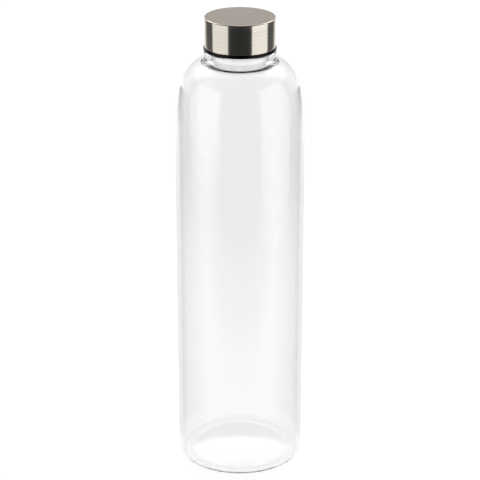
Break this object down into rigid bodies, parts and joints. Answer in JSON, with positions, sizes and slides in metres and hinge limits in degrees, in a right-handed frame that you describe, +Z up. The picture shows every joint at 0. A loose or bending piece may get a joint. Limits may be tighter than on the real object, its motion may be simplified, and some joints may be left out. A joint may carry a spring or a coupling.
{
  "type": "glass water bottle",
  "caption": "Tall clear glass water bottle with a domed shoulder, a short threaded neck and a brushed steel screw cap with a dark plastic liner and a soft seal.",
  "frame": {"origin": "centre of the base, on the surface that the bottle stands on", "axes": "+Z up along the bottle's axis; the bottle is round, so X and Y are any two level directions"},
  "size_m": [0.08, 0.08, 0.2932],
  "materials": {
    "clear_glass": "clear, smooth, with a faint green edge",
    "brushed_steel": "satin, brushed round the side and straight across the top",
    "black_plastic": "moulded, semi-gloss",
    "seal_silicone": "matte, slightly translucent"
  },
  "bodies": {
    "bottle": {"glass_bottle": "clear_glass"},
    "seal": {"cap_seal": "seal_silicone"},
    "cap": {"cap_insert": "black_plastic", "cap_shell": "brushed_steel"}
  },
  "joints": [
    {"name": "cap_rise", "type": "slide", "parent": "bottle", "child": "seal", "axis": [0, 0, 1], "range_m": [0, 0.0201]},
    {"name": "cap_turn", "type": "hinge", "parent": "seal", "child": "cap", "pos_m": [0, 0, 0.274], "axis": [0, 0, 1], "range_deg": [0, 1800]}
  ],
  "couplings": [
    {"joint": "cap_rise", "follows": "cap_turn", "m_per_rad": 0.00063662}
  ]
}
